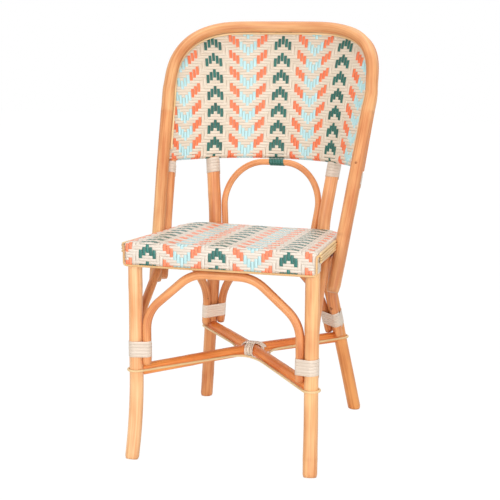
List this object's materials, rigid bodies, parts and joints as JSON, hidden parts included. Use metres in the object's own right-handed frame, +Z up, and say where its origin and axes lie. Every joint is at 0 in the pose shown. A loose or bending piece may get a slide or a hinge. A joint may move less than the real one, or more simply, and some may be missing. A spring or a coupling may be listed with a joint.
{
  "type": "rattan bistro chair",
  "caption": "Bistro side chair of bent rattan poles: hooped, barrel-curved woven back, woven flat seat, arched braces, crossed stretchers and cane bindings.",
  "frame": {"origin": "on the floor, at the centre of the chair's plan", "axes": "+Z up; the sitter faces -Y; +X is the sitter's left"},
  "size_m": [0.487, 0.5292, 0.8935],
  "materials": {
    "rattan": "satin varnish over bent rattan",
    "pale_cane": "satin",
    "binding": "matte",
    "green_binding": "satin",
    "woven": "woven synthetic strands, cream with green, orange and pale blue chevrons"
  },
  "bodies": {
    "root": {"front_leg_right": "rattan", "front_leg_left": "rattan", "front_hoop": "rattan", "rear_hoop": "rattan", "back_panel_weave": "woven", "panel_bottom_rail": "rattan", "panel_cover_cane": "rattan", "panel_trim_cane": "pale_cane", "seat_weave": "woven", "rear_leg_right": "rattan", "rear_leg_left": "rattan", "seat_bow": "rattan", "seat_front_rail": "rattan", "seat_lower_rail": "rattan", "apron_cane": "pale_cane", "side_cane_right": "pale_cane", "side_cane_left": "pale_cane", "front_arch": "rattan", "rear_arch": "rattan", "side_arch_right": "rattan", "side_arch_left": "rattan", "back_arch": "rattan", "stretcher_low": "rattan", "stretcher_high": "rattan", "stretcher_cane": "pale_cane", "front_leg_binding_right": "binding", "front_leg_binding_left": "binding", "rear_leg_binding_right": "binding", "rear_leg_binding_left": "binding", "post_binding_right": "binding", "post_binding_left": "binding", "hoop_binding_right": "binding", "hoop_binding_left": "binding", "back_arch_binding": "green_binding", "stretcher_lashing": "binding"}
  },
  "joints": []
}
